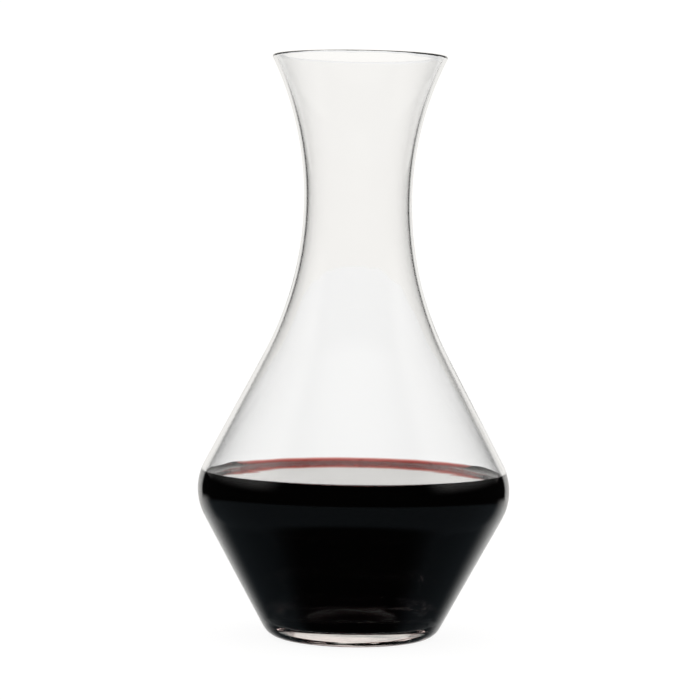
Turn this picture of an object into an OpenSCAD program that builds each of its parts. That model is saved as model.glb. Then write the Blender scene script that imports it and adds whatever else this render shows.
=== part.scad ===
// Wine decanter: one blown glass vessel and the red wine that stands in it.
// Every surface is turned about the Z axis. Z = 0 is the surface that the decanter stands on.

/* [Vessel] */
// Height of the vessel, from the resting ring to the top of the rim
height = 270; // [230:5:330]
// Outer diameter of the mouth, at the rim
mouth_d = 81; // [68:1:98]
// Outer diameter at the waist, the narrowest place of the neck
waist_d = 50; // [41:1:60]
// Depth of the waist below the rim
waist_drop = 67; // [54:1:82]
// Radius of the curve that leads from the waist down into the shoulder
neck_curve_r = 152; // [60:2:190]

/* [Bowl] */
// Outer diameter of the belly, the widest place of the bowl
belly_d = 145; // [118:0.5:176]
// Height of the belly above the table
belly_z = 69; // [56:0.5:84]
// Radius of the curve round the belly, from the shoulder to the lower cone
belly_curve_r = 26.5; // [18:0.5:32]

/* [Foot] */
// Outer diameter of the flat ring that the vessel rests on
foot_d = 66; // [54:1:80]
// Width of the flat resting ring
foot_ring_w = 3; // [2:0.25:5]
// Radius of the heel, where the lower cone turns under
heel_r = 9.5; // [7:0.5:12]
// Height of the hollow under the foot, at its middle
punt_h = 2; // [1:0.1:2.6]

/* [Glass] */
// Thickness of the wall in the neck and at the rim
neck_wall = 1.6; // [1.2:0.1:2.2]
// Thickness of the wall at the belly
belly_wall = 1.9; // [1.4:0.1:2.4]
// Thickness of the glass in the middle of the foot, from the hollow to the crown of the inner floor
foot_t = 7.7; // [6.4:0.1:9.3]
// Rise of the inner floor, from the lowest line of the groove round it to the crown
floor_rise = 1.5; // [1:0.1:3]
// Diameter of the groove's lowest line
floor_d = 57; // [47:1:64]
// Radius of the groove, which turns up into the lower cone
floor_curve_r = 6.5; // [5:0.5:9]

/* [Wine] */
// Height of the wine's surface above the table
wine_level = 74.5; // [20:0.5:94]

/* [Hidden] */
$fn = 96;
// Longest step along a curve of an outline, in degrees
curve_step = 3;

// Point at the distance r from the centre c, in the direction a above the horizontal
function polar(c, r, a) = [c[0] + r * cos(a), c[1] + r * sin(a)];

// Points of the arc round c from the direction a to the direction b
function arc(c, r, a, b) =
    let (steps = ceil(abs(b - a) / curve_step))
    [for (i = [0:steps]) polar(c, r, a + (b - a) * i / steps)];

// Radius of the arc that is square to a line at its middle and leaves it by h over the run w
function bow_r(w, h) = (w * w + h * h) / (2 * h);

// Longest radius of a waist's curve that still meets the belly's curve: the waist stands h above
// the belly's middle and w inside its widest place, and r is the radius of the belly's curve
function longest_curve(w, h, r) = bow_r(h, w) - r;

floor_z = punt_h + foot_t - floor_rise;
waist_z = height - waist_drop;
lip_r = neck_wall / 2;
neck_r = min(neck_curve_r, longest_curve((belly_d - waist_d) / 2, waist_z - belly_z, belly_curve_r));
flare_r = bow_r(waist_drop - lip_r, (mouth_d - waist_d) / 2) - lip_r;
neck_c = [waist_d / 2 + neck_r, waist_z];
flare_c = [waist_d / 2 + flare_r, waist_z];
belly_c = [belly_d / 2 - belly_curve_r, belly_z];
heel_c = [foot_d / 2, heel_r];
floor_c = [floor_d / 2, floor_z + floor_curve_r];
// The crown is one shallow arc across the axis, which the groove's curve touches on both sides
crown_r = bow_r(floor_d / 2, floor_rise) - floor_curve_r;
crown_a = asin(floor_d / 2 / (crown_r + floor_curve_r));
// Direction from the middle of the flare's curve to the middle of the lip
lip_a = 180 - asin((waist_drop - lip_r) / (flare_r + lip_r));

// Outline of one side of the wall, from its lowest curve (middle low_c, radius low_r, from the
// direction low_a on) up round the belly and the waist to the lip. It lies the distance belly_skin
// inside the outer surface at the belly and the distance neck_skin inside it in the neck. The
// straight lines of the lower cone and the shoulder touch the curves at both of their ends.
function side(low_c, low_r, low_a, belly_skin, neck_skin) =
    let (
        belly_side = belly_curve_r - belly_skin,
        neck_side = neck_r + neck_skin,
        fall = belly_c - low_c,
        rise = neck_c - belly_c,
        cone_a = atan2(fall[1], -fall[0]) - acos((belly_side - low_r) / norm(fall)),
        shoulder_a = atan2(rise[1], rise[0]) - acos(min(1, (belly_side + neck_side) / norm(rise)))
    )
    concat(
        arc(low_c, low_r, low_a, -cone_a),
        arc(belly_c, belly_side, -cone_a, shoulder_a),
        arc(neck_c, neck_side, 180 + shoulder_a, 180),
        arc(flare_c, flare_r + neck_skin, 180, lip_a)
    );

function backwards(points) = [for (i = [len(points) - 1:-1:0]) points[i]];

// The points of an outline that lie below z, and the point where it passes z
function up_to(points, z) =
    let (
        below = [for (p = points) if (p[1] < z) p],
        p = points[len(below) - 1],
        q = points[len(below)]
    )
    concat(below, [p + (q - p) * (z - p[1]) / (q[1] - p[1])]);

outer_side = side(heel_c, heel_r, -90, 0, 0);
inner_side = concat(
    arc([0, floor_z + floor_rise - crown_r], crown_r, 90, 90 - crown_a),
    side(floor_c, floor_curve_r, -90 - crown_a, belly_wall, neck_wall)
);
punt_w = foot_d / 2 - foot_ring_w;
punt_r = bow_r(punt_w, punt_h);

// Blown glass: the wall, the rounded lip and the thick foot with its hollow
module glass_vessel() {
    hollow = arc([0, punt_h - punt_r], punt_r, 90, 90 - asin(punt_w / punt_r));
    lip = arc(polar(flare_c, flare_r + lip_r, lip_a), lip_r, lip_a - 180, lip_a);
    color([0.88, 0.92, 0.92, 0.45])
        rotate_extrude() polygon(concat(hollow, outer_side, lip, backwards(inner_side)));
}

// Red wine, which fills the inner side of the glass up to its level
module wine() {
    color([0.3, 0.02, 0.06])
        rotate_extrude() polygon(concat(up_to(inner_side, wine_level), [[0, wine_level]]));
}

glass_vessel();
wine();
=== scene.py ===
"""A wine decanter: a blown glass vessel part-filled with red wine, on a white table."""
import math
import random

import bpy
from mathutils import Matrix, Vector, noise


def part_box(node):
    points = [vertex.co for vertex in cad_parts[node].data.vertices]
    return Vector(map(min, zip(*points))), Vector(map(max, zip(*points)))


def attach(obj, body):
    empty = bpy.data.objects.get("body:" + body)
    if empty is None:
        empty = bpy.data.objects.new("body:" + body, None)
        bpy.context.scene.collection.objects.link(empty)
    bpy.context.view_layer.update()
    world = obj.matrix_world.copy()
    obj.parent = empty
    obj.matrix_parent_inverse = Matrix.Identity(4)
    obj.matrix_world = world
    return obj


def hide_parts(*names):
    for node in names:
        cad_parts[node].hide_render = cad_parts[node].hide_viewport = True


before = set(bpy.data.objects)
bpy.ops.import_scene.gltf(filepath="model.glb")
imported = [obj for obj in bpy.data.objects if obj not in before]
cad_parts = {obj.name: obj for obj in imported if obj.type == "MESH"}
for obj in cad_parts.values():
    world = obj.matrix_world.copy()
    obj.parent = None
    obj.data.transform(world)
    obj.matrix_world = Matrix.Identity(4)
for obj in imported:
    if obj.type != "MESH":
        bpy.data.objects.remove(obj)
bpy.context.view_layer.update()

MM = 0.001
SEED = 7

# ---- Sizes in millimetres: the frame gives the outer ones, and the rest are the part's own ----

vessel_low, vessel_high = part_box("glass_vessel")
wine_low, wine_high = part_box("wine")
HEIGHT = vessel_high.z / MM
BELLY_R = max(vessel_high.x, vessel_high.y) / MM
WINE_LEVEL = wine_high.z / MM
FLOOR_Z = wine_low.z / MM

MOUTH_R = 40.5
WAIST_R = 25.0
WAIST_DROP = 67.0
NECK_CURVE_R = 152.0
BELLY_Z = 69.0
BELLY_CURVE_R = 26.5
FOOT_R = 33.0
FOOT_RING = 3.0
HEEL_R = 9.5
PUNT_H = 2.0
NECK_WALL = 1.6
BELLY_WALL = 1.9
FLOOR_R = 28.5
FLOOR_CURVE_R = 6.5
FLOOR_DOME = 1.5

# The wine's climb at the glass, and the distance in which it falls to about a third
MENISCUS_H = 2.8
MENISCUS_W = 1.7
# The climb is drawn over this distance, with this many steps that grow longer by this power
MENISCUS_REACH = 12.0
MENISCUS_STEPS = 26
MENISCUS_POWER = 1.8
# How far the wine's mesh reaches into the glass, so that light passes from one to the other with
# no air between: the two bend it together as they do where they touch
OVERLAP = 0.05
# Height below the wine's upper edge over which that reach falls to nothing
OVERLAP_TAPER = 2.0

# Height of the soft swells and of the fine streaks in the blown wall
SWELL_H = 0.05
STREAK_H = 0.025
# Height and width of the ripples in the inner floor
RIPPLE_H = 0.12
RIPPLE_W = 7.0

# How far the wine's dark lies inside its side and under its surface
DEPTH_SIDE = 6.0
DEPTH_TOP = 8.0

# Bubbles: their radius, the thickness of their film, how far they stand out of the wine as a share of
# the radius, and the steps of their balls
BUBBLE_R = (0.4, 0.75)
BUBBLE_FILM = 0.1
BUBBLE_LIFT = 0.1
BUBBLE_RINGS = 10
BUBBLE_AROUND = 20
# Degrees from one bubble of a group to the next, and how far each strays from its place
BUBBLE_STEP = 1.7
BUBBLE_STRAY = 0.3
# The groups near the wine's edge: the angle round the axis from +X in degrees, the number of bubbles
# and the gap to the glass
BUBBLE_GROUPS = [(152, 3, 0.2), (142, 2, 0.3), (110, 2, 0.2), (87, 2, 0.2), (56, 1, 0.6), (51, 2, 3.0),
                 (44, 2, 3.5), (38, 2, 3.0), (-127, 1, 0.3), (-52, 2, 0.3), (-41, 1, 0.3)]

# Longest step along an outline, and the number of steps round it
STEP = 1.6
AROUND = 288

# How strongly clear bodies bend light
GLASS_IOR = 1.5
WINE_IOR = 1.34


# ---- Outlines, as lists of (radius, height) ----

def polar(centre, r, a):
    return (centre[0] + r * math.cos(a), centre[1] + r * math.sin(a))


def arc(centre, r, a, b):
    """Points of the arc round a centre from the direction a to the direction b."""
    steps = max(6, math.ceil(abs(b - a) * r / STEP), math.ceil(abs(b - a) / math.radians(6)))
    return [polar(centre, r, a + (b - a) * i / steps) for i in range(steps + 1)]


def bow_r(w, h):
    """Radius of the arc that is square to a line at its middle and leaves it by h over the run w."""
    return (w * w + h * h) / (2 * h)


WAIST_Z = HEIGHT - WAIST_DROP
LIP_R = NECK_WALL / 2
FLARE_R = bow_r(WAIST_DROP - LIP_R, MOUTH_R - WAIST_R) - LIP_R
NECK_C = (WAIST_R + NECK_CURVE_R, WAIST_Z)
FLARE_C = (WAIST_R + FLARE_R, WAIST_Z)
BELLY_C = (BELLY_R - BELLY_CURVE_R, BELLY_Z)
HEEL_C = (FOOT_R, HEEL_R)
FLOOR_C = (FLOOR_R, FLOOR_Z + FLOOR_CURVE_R)
DOME_R = bow_r(FLOOR_R, FLOOR_DOME) - FLOOR_CURVE_R
DOME_C = (0, FLOOR_Z + FLOOR_DOME - DOME_R)
DOME_A = math.asin(FLOOR_R / (DOME_R + FLOOR_CURVE_R))
LIP_A = math.pi - math.asin((WAIST_DROP - LIP_R) / (FLARE_R + LIP_R))


def side(low_c, low_r, low_a, belly_skin, neck_skin):
    """Outline of one side of the wall, from its lowest curve up to the lip, as part.scad draws it."""
    belly_r = BELLY_CURVE_R - belly_skin
    neck_r = NECK_CURVE_R + neck_skin
    fall = (BELLY_C[0] - low_c[0], BELLY_C[1] - low_c[1])
    rise = (NECK_C[0] - BELLY_C[0], NECK_C[1] - BELLY_C[1])
    cone = math.atan2(fall[1], -fall[0]) - math.acos((belly_r - low_r) / math.hypot(*fall))
    shoulder = math.atan2(rise[1], rise[0]) - math.acos((belly_r + neck_r) / math.hypot(*rise))
    return (arc(low_c, low_r, low_a, -cone)
            + arc(BELLY_C, belly_r, -cone, shoulder)
            + arc(NECK_C, neck_r, math.pi + shoulder, math.pi)
            + arc(FLARE_C, FLARE_R + neck_skin, math.pi, LIP_A))


def fine(points):
    """The outline with its long straight stretches divided and its doubled points left out."""
    out = [points[0]]
    for p in points[1:]:
        last = out[-1]
        run = math.dist(last, p)
        if run < 1e-6:
            continue
        n = math.ceil(run / STEP)
        out += [(last[0] + (p[0] - last[0]) * i / n, last[1] + (p[1] - last[1]) * i / n)
                for i in range(1, n + 1)]
    return out


def up_to(points, z):
    """The points of an outline that lie below z, and the point where it passes z."""
    below = [p for p in points if p[1] < z]
    p, q = below[-1], points[len(below)]
    t = (z - p[1]) / (q[1] - p[1])
    return below + [(p[0] + (q[0] - p[0]) * t, z)]


def shift(points, reach):
    """An outline moved outwards, square to itself, each point by its own reach."""
    out = []
    for i, (p, d) in enumerate(zip(points, reach)):
        a, b = points[max(i - 1, 0)], points[min(i + 1, len(points) - 1)]
        run = math.dist(a, b)
        out.append((p[0] + d * (b[1] - a[1]) / run, p[1] - d * (b[0] - a[0]) / run))
    return out


outer_side = fine(side(HEEL_C, HEEL_R, -math.pi / 2, 0, 0))
dome = arc(DOME_C, DOME_R, math.pi / 2, math.pi / 2 - DOME_A)
inner_side = fine(dome + side(FLOOR_C, FLOOR_CURVE_R, -math.pi / 2 - DOME_A, BELLY_WALL, NECK_WALL))


# ---- Meshes ----

def blown(r, z, a, depth):
    """How far blown glass strays from a true turned shape: long soft swells, and fine streaks upwards."""
    swell = noise.noise(Vector((math.cos(a) * r / 45, math.sin(a) * r / 45, z / 60 + depth)))
    streak = noise.noise(Vector((math.cos(a) * 5, math.sin(a) * 5, z / 90 - depth)))
    return SWELL_H * swell + STREAK_H * streak


def outer_skin(r, z, a):
    """A point of the outer surface, which is true in the foot, so that the ring rests flat."""
    free = min(1.0, max(0.0, z / HEEL_R - 1.0))
    return r + free * blown(r, z, a, 0.0), z


def inner_skin(r, z, a):
    """A point of the inner surface, where the floor is rippled by the tool that pressed it."""
    free = min(1.0, max(0.0, z / FLOOR_C[1] - 1.0))
    ripple = noise.noise(Vector((math.cos(a) * r / RIPPLE_W, math.sin(a) * r / RIPPLE_W, 2.0)))
    return r + free * blown(r, z, a, 3.0), z + (1.0 - free) * RIPPLE_H * ripple


def true_skin(r, z, a):
    return r, z


def turned_faces(rings, around, first=0):
    """Faces of a closed body whose vertices, from the number first on, are a pole, the rings and the
    other pole."""
    top = first + 1 + (rings - 1) * around
    faces = []
    for j in range(around):
        k = (j + 1) % around
        faces.append((first, first + 1 + k, first + 1 + j))
        for low in range(first + 1, top, around):
            high = low + around
            faces.append((low + j, low + k, high + k, high + j))
        faces.append((top + j, top + k, top + around))
    return faces


def add_mesh(name, verts, faces, material):
    """A smooth object from vertices in millimetres."""
    mesh = bpy.data.meshes.new(name)
    mesh.from_pydata([tuple(v * MM for v in vert) for vert in verts], [], faces)
    mesh.materials.append(material)
    mesh.polygons.foreach_set("use_smooth", [True] * len(faces))
    mesh.update()
    obj = bpy.data.objects.new(name, mesh)
    bpy.context.scene.collection.objects.link(obj)
    return obj


def lathe(name, outline, material, skin, edge=None):
    """A closed body turned from an outline that starts and ends on the axis. skin(i) is the surface
    that ring i lies in, and edge is the ring of a sharp edge."""
    angles = [2 * math.pi * j / AROUND for j in range(AROUND)]
    last = len(outline) - 1
    verts = [(0.0, 0.0, skin(0)(0.0, outline[0][1], 0.0)[1])]
    for i, (r, z) in enumerate(outline[1:-1], 1):
        for a in angles:
            real_r, real_z = skin(i)(r, z, a)
            verts.append((real_r * math.cos(a), real_r * math.sin(a), real_z))
    verts.append((0.0, 0.0, skin(last)(0.0, outline[last][1], 0.0)[1]))
    obj = add_mesh(name, verts, turned_faces(last - 1, AROUND), material)
    if edge is not None:
        ring = range(1 + (edge - 1) * AROUND, 1 + edge * AROUND)
        for e in obj.data.edges:
            e.use_edge_sharp = e.vertices[0] in ring and e.vertices[1] in ring
    return obj


def ball(centre, r, first):
    """Vertices of a ball, and its faces if the vertices get numbers from first on."""
    verts = [centre - Vector((0, 0, r))]
    for i in range(1, BUBBLE_RINGS):
        lift = math.pi * i / BUBBLE_RINGS - math.pi / 2
        for j in range(BUBBLE_AROUND):
            a = 2 * math.pi * j / BUBBLE_AROUND
            out = Vector((math.cos(lift) * math.cos(a), math.cos(lift) * math.sin(a), math.sin(lift)))
            verts.append(centre + r * out)
    verts.append(centre + Vector((0, 0, r)))
    return verts, turned_faces(BUBBLE_RINGS - 1, BUBBLE_AROUND, first)


# ---- Materials ----

def new_material(name):
    m = bpy.data.materials.new(name)
    m.use_nodes = True
    nodes = m.node_tree.nodes
    return m, nodes, m.node_tree.links, nodes["Principled BSDF"], nodes["Material Output"]


def absorb(nodes, links, out, colour, density):
    volume = nodes.new("ShaderNodeVolumeAbsorption")
    volume.inputs["Color"].default_value = (*colour, 1)
    volume.inputs["Density"].default_value = density
    links.new(volume.outputs[0], out.inputs["Volume"])


def make_clear(name, ior):
    """A smooth clear body, with nothing in its depth yet."""
    m, nodes, links, shader, out = new_material(name)
    shader.inputs["Base Color"].default_value = (1, 1, 1, 1)
    shader.inputs["Roughness"].default_value = 0.0
    shader.inputs["IOR"].default_value = ior
    shader.inputs["Transmission Weight"].default_value = 1.0
    return m, nodes, links, shader, out


def make_glass():
    """Clear blown glass: faint waves in its surface, and a trace of grey-green in its depth."""
    m, nodes, links, shader, out = make_clear("clear_glass", GLASS_IOR)
    place = nodes.new("ShaderNodeTexCoord")
    stretch = nodes.new("ShaderNodeMapping")
    stretch.inputs["Scale"].default_value = (60, 60, 12)
    waves = nodes.new("ShaderNodeTexNoise")
    waves.inputs["Scale"].default_value = 1.0
    waves.inputs["Detail"].default_value = 1.0
    bump = nodes.new("ShaderNodeBump")
    bump.inputs["Strength"].default_value = 0.12
    bump.inputs["Distance"].default_value = 0.0004
    links.new(place.outputs["Object"], stretch.inputs["Vector"])
    links.new(stretch.outputs["Vector"], waves.inputs["Vector"])
    links.new(waves.outputs["Fac"], bump.inputs["Height"])
    links.new(bump.outputs["Normal"], shader.inputs["Normal"])
    absorb(nodes, links, out, (0.88, 0.92, 0.9), 14.0)
    return m


def make_liquid():
    """Red wine: clear to the eye only where it is a few millimetres thin."""
    m, nodes, links, _, out = make_clear("red_wine", WINE_IOR)
    absorb(nodes, links, out, (0.66, 0.06, 0.0), 1600.0)
    return m


def make_film():
    """The skin of a bubble, too thin to show much of the wine's colour."""
    m, _, _, shader, _ = make_clear("bubble_film", WINE_IOR)
    shader.inputs["Base Color"].default_value = (1.0, 0.93, 0.92, 1)
    return m


def make_dark():
    """Wine too deep for light: nearly black, with a trace of red that drifts through it."""
    m, nodes, links, shader, _ = new_material("dark_wine")
    shader.inputs["Roughness"].default_value = 1.0
    shader.inputs["Specular IOR Level"].default_value = 0.0
    drift = nodes.new("ShaderNodeTexNoise")
    drift.inputs["Scale"].default_value = 30.0
    tone = nodes.new("ShaderNodeValToRGB")
    tone.color_ramp.elements[0].color = (0.004, 0.0002, 0.0004, 1)
    tone.color_ramp.elements[1].color = (0.012, 0.0006, 0.0010, 1)
    links.new(drift.outputs["Fac"], tone.inputs["Fac"])
    links.new(tone.outputs["Color"], shader.inputs["Base Color"])
    return m


clear_glass = make_glass()
red_wine = make_liquid()
bubble_film = make_film()
dark_wine = make_dark()


# ---- Pieces ----

def climb(d):
    """Height of the wine's surface above its level, at the distance d from the glass."""
    return MENISCUS_H * math.exp(-d / MENISCUS_W)


def make_vessel():
    """The glass: its hollow foot, outer side, lip and inner side as one closed outline."""
    punt_w = FOOT_R - FOOT_RING
    punt_r = bow_r(punt_w, PUNT_H)
    hollow = arc((0, PUNT_H - punt_r), punt_r, math.pi / 2, math.pi / 2 - math.asin(punt_w / punt_r))
    lip = arc(polar(FLARE_C, FLARE_R + LIP_R, LIP_A), LIP_R, LIP_A - math.pi, LIP_A)
    outside = fine(hollow + outer_side)
    inside = inner_side[::-1]
    outline = outside + lip[1:-1] + inside
    first_inside = len(outside) + len(lip) - 2
    return lathe("decanter_glass", outline, clear_glass,
                 lambda i: inner_skin if i >= first_inside else outer_skin)


def make_wine():
    """The wine: the inner side of the glass, moved out by the overlap, and the surface with its climb."""
    contact_z = WINE_LEVEL + MENISCUS_H
    contact = up_to(inner_side, contact_z)
    reach = [OVERLAP * min(1.0, (contact_z - z) / OVERLAP_TAPER) for r, z in contact]
    wall = shift(contact, reach)
    edge_r = wall[-1][0]
    top = []
    for i in range(1, MENISCUS_STEPS):
        d = MENISCUS_REACH * (i / MENISCUS_STEPS) ** MENISCUS_POWER
        top.append((edge_r - d, WINE_LEVEL + climb(d)))
    top += fine([(edge_r - MENISCUS_REACH - 1.0, WINE_LEVEL), (0, WINE_LEVEL)])
    outline = [(0, wall[0][1])] + wall[1:] + top
    return lathe("wine_body", outline, red_wine,
                 lambda i: inner_skin if i < len(wall) else true_skin, edge=len(wall) - 1)


def make_depth():
    """The dark of the wine from a few millimetres in. Hardly any light gets that deep, so it doesn't
    show, but a viewer that can't look through two clear bodies at once sees the wine by it."""
    wall = up_to(inner_side, WINE_LEVEL - DEPTH_TOP)
    wall = shift(wall, [-DEPTH_SIDE] * len(wall))
    outline = fine(wall + [(0, wall[-1][1])])
    return lathe("wine_depth", outline, dark_wine, lambda i: true_skin)


def make_bubbles():
    """Small bubbles that the pouring left along the wine's edge, as thin films round air."""
    random.seed(SEED)
    edge_r = up_to(inner_side, WINE_LEVEL + MENISCUS_H)[-1][0]
    verts, faces = [], []
    for middle, count, gap in BUBBLE_GROUPS:
        for i in range(count):
            r = random.uniform(*BUBBLE_R)
            place = middle + (i - (count - 1) / 2) * BUBBLE_STEP
            a = math.radians(place + random.uniform(-BUBBLE_STRAY, BUBBLE_STRAY))
            d = r + gap * random.uniform(0.7, 1.3)
            centre = Vector(((edge_r - d) * math.cos(a), (edge_r - d) * math.sin(a),
                             WINE_LEVEL + climb(d) + BUBBLE_LIFT * r))
            film_verts, film_faces = ball(centre, r, len(verts))
            verts += film_verts
            faces += film_faces
            air_verts, air_faces = ball(centre, r - BUBBLE_FILM, len(verts))
            verts += air_verts
            faces += [face[::-1] for face in air_faces]
    return add_mesh("wine_bubbles", verts, faces, bubble_film)


vessel = make_vessel()
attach(vessel, "root")
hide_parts("glass_vessel")

wine = make_wine()
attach(wine, "root")
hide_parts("wine")

for piece in (make_depth(), make_bubbles()):
    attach(piece, "root")


# ---- Stage, light and camera ----

# Half the width of the table, in metres
TABLE_SIZE = 12.0

# How bright the parts of the studio are: the light that nothing has mirrored, and in what the glass
# mirrors the backdrop, the light overhead, the sheen of the table and the dark between them
OPEN_LIGHT = 1.05
BACKDROP_LIGHT = 0.85
OVERHEAD_LIGHT = 0.5
SHEEN_LIGHT = 0.06
NEAR_DARK = 0.005
# The same for light that has passed through more of the glass and the wine
FAR_LIGHT = 1.28
FAR_DARK = 0.01
# The colours of that light and of the table's sheen
WARM = (1.015, 1.0, 0.975)
COOL = (0.8, 1.0, 1.15)


def make_floor():
    """A white table, bright enough to melt into the background. What the glass mirrors passes
    through it, so that the studio below it decides how the underside of the bowl shines."""
    m, nodes, links, shader, out = new_material("white_table")
    shader.inputs["Base Color"].default_value = (0.15, 0.15, 0.15, 1)
    shader.inputs["Roughness"].default_value = 1.0
    shader.inputs["Specular IOR Level"].default_value = 0.0
    shader.inputs["Emission Color"].default_value = (1, 1, 1, 1)
    shader.inputs["Emission Strength"].default_value = 0.9
    path = nodes.new("ShaderNodeLightPath")
    mirrored = nodes.new("ShaderNodeMath")
    mirrored.operation = "GREATER_THAN"
    mirrored.inputs[1].default_value = 0.5
    clear = nodes.new("ShaderNodeBsdfTransparent")
    either = nodes.new("ShaderNodeMixShader")
    links.new(path.outputs["Glossy Depth"], mirrored.inputs[0])
    links.new(mirrored.outputs[0], either.inputs[0])
    links.new(shader.outputs[0], either.inputs[1])
    links.new(clear.outputs[0], either.inputs[2])
    links.new(either.outputs[0], out.inputs["Surface"])
    half = TABLE_SIZE / MM
    corners = [(-half, -half, 0), (half, -half, 0), (half, half, 0), (-half, half, 0)]
    table = add_mesh("table", corners, [(0, 1, 2, 3)], m)


def make_world():
    """White light from everywhere, and in what the glass mirrors a dim studio with a white backdrop
    beyond the decanter, a soft light overhead and the sheen of the table."""
    world = bpy.data.worlds.new("studio")
    world.use_nodes = True
    bpy.context.scene.world = world
    nodes, links = world.node_tree.nodes, world.node_tree.links
    nodes.clear()

    def calc(kind, a, b=0.0):
        n = nodes.new("ShaderNodeMath")
        n.operation = kind
        for socket, v in zip(n.inputs, (a, b)):
            if isinstance(v, (int, float)):
                socket.default_value = v
            else:
                links.new(v, socket)
        return n.outputs[0]

    def product(first, *others):
        for other in others:
            first = calc("MULTIPLY", first, other)
        return first

    def ramp(v, low, high):
        n = nodes.new("ShaderNodeMapRange")
        n.interpolation_type = "SMOOTHSTEP"
        n.inputs["From Min"].default_value = low
        n.inputs["From Max"].default_value = high
        links.new(v, n.inputs["Value"])
        return n.outputs["Result"]

    place = nodes.new("ShaderNodeTexCoord")
    split = nodes.new("ShaderNodeSeparateXYZ")
    links.new(place.outputs["Generated"], split.inputs[0])
    x, y, z = split.outputs
    level = calc("SQRT", calc("ADD", product(x, x), product(y, y)))
    ahead = calc("DIVIDE", y, level)

    def height(none, full):
        """Rises from 0 to 1 between two heights over the horizon, in degrees."""
        return ramp(z, math.sin(math.radians(none)), math.sin(math.radians(full)))

    def spread(none, full):
        """Rises from 0 to 1 between two angles from the direction of +Y, in degrees."""
        return ramp(ahead, math.cos(math.radians(none)), math.cos(math.radians(full)))

    path = nodes.new("ShaderNodeLightPath")
    crossed = path.outputs["Transmission Depth"]
    mirror = calc("GREATER_THAN", path.outputs["Glossy Depth"], 0.5)
    straight = calc("SUBTRACT", 1.0, mirror)
    deep = calc("GREATER_THAN", crossed, 2.5)
    shallow = calc("SUBTRACT", 1.0, deep)

    backdrop = product(spread(33, 27), height(-25, -8), height(60, 45))
    glow = product(spread(50, 20), height(-42, -12), height(-6, -10))
    beyond = product(calc("MAXIMUM", backdrop, glow), BACKDROP_LIGHT)
    aside = product(spread(125, 100), height(5, 28))
    overhead = product(calc("MAXIMUM", height(42, 55), aside), OVERHEAD_LIGHT)
    near = calc("ADD", calc("MAXIMUM", beyond, overhead), NEAR_DARK)

    through_wine = calc("GREATER_THAN", crossed, 4.5)
    film = calc("MAXIMUM", height(4.2, 4.8), through_wine)
    far = calc("ADD", product(spread(50, 30), film, FAR_LIGHT), FAR_DARK)

    mirrored = calc("ADD", product(deep, far), product(shallow, near))
    light = calc("ADD", product(mirror, mirrored), product(straight, OPEN_LIGHT))
    sheen = product(mirror, shallow, height(-9, -13), height(-58, -46), SHEEN_LIGHT)
    colour = nodes.new("ShaderNodeCombineXYZ")
    for socket, warm, cool in zip(colour.inputs, WARM, COOL):
        links.new(calc("ADD", product(light, warm), product(sheen, cool)), socket)
    back = nodes.new("ShaderNodeBackground")
    links.new(colour.outputs[0], back.inputs["Color"])
    out = nodes.new("ShaderNodeOutputWorld")
    links.new(back.outputs[0], out.inputs["Surface"])


def make_camera():
    """A long lens a little above the belly, so that the rim is seen from below and the wine from above."""
    distance = 1219.0
    eye_z = 188.0
    aim_z = 133.7
    aside = -2.65
    roll = math.radians(0.885)
    data = bpy.data.cameras.new("camera")
    data.lens = 135
    data.sensor_width = 36
    data.clip_end = 100
    cam = bpy.data.objects.new("camera", data)
    bpy.context.scene.collection.objects.link(cam)
    cam.location = (aside * MM, -distance * MM, eye_z * MM)
    look = Vector((0, distance, aim_z - eye_z))
    turn = look.to_track_quat("-Z", "Y").to_matrix().to_4x4() @ Matrix.Rotation(roll, 4, "Z")
    cam.rotation_euler = turn.to_euler()
    bpy.context.scene.camera = cam


make_floor()
make_world()
make_camera()

scene = bpy.context.scene
scene.view_settings.view_transform = "Standard"
scene.cycles.max_bounces = 32
scene.cycles.transmission_bounces = 32
scene.cycles.glossy_bounces = 16
scene.cycles.transparent_max_bounces = 16
scene.cycles.caustics_reflective = True
scene.cycles.caustics_refractive = True
scene.cycles.sample_clamp_indirect = 0.0
